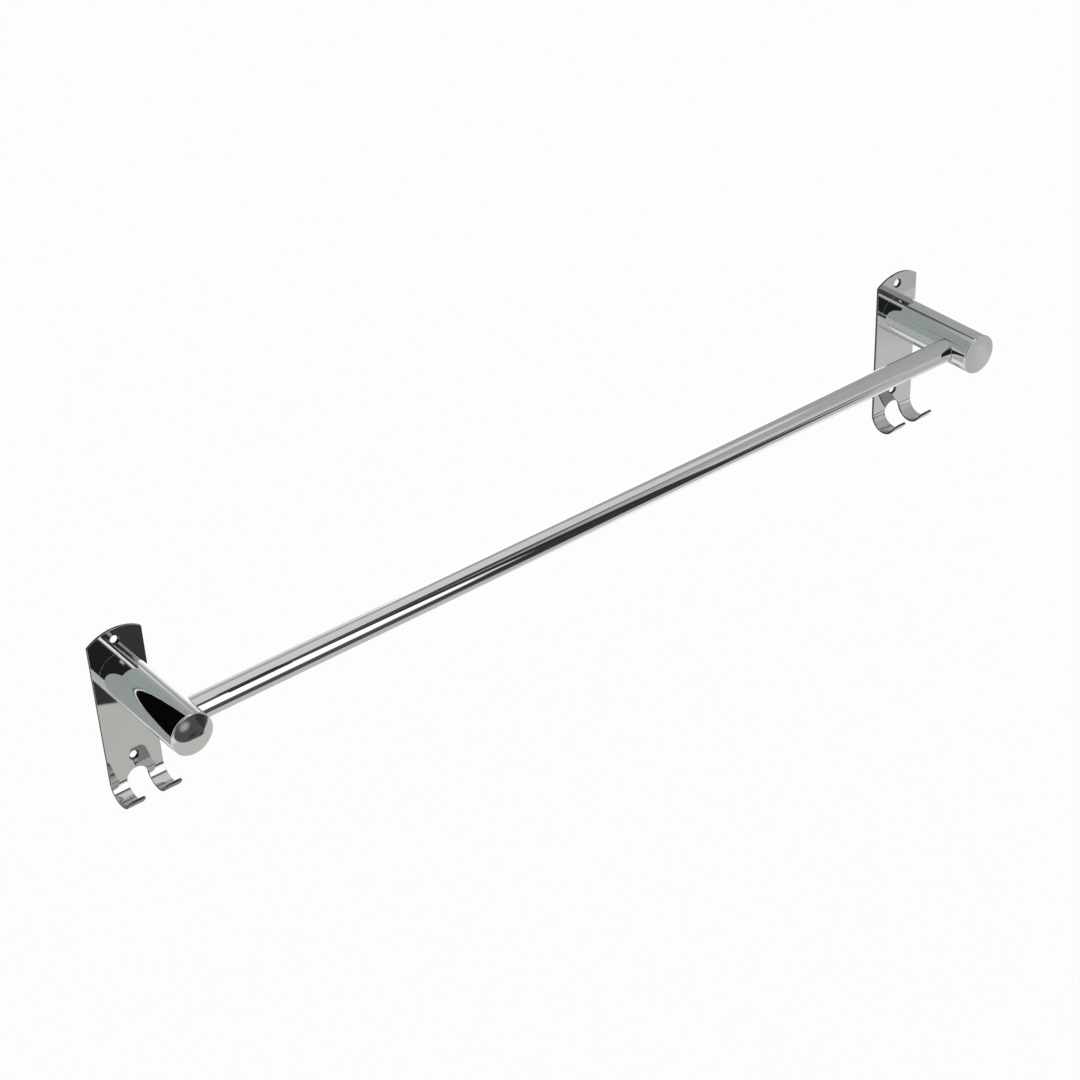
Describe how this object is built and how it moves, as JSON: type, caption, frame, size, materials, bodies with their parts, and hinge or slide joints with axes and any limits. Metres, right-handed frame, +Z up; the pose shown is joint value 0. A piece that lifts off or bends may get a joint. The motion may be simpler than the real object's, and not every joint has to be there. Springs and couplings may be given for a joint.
{
  "type": "towel bar",
  "caption": "Polished wall-mounted towel bar: a round rail between round posts on narrow wall plates, each with small forward-bent hooks at its lower end.",
  "frame": {"origin": "centre of the wall screws' rectangle, on the wall", "axes": "+X along the rail, +Y into the wall, +Z up"},
  "size_m": [0.6, 0.0735, 0.105],
  "materials": {
    "plated_sheet": "polished",
    "plated_post": "polished",
    "plated_rail": "polished",
    "screw_steel": "zinc plated"
  },
  "bodies": {
    "root": {"rail": "plated_rail", "post_left": "plated_post", "post_right": "plated_post", "wall_plate_left": "plated_sheet", "wall_plate_right": "plated_sheet", "post_screw_left": "screw_steel", "post_screw_right": "screw_steel", "rail_screw_left": "screw_steel", "rail_screw_right": "screw_steel"}
  },
  "joints": []
}
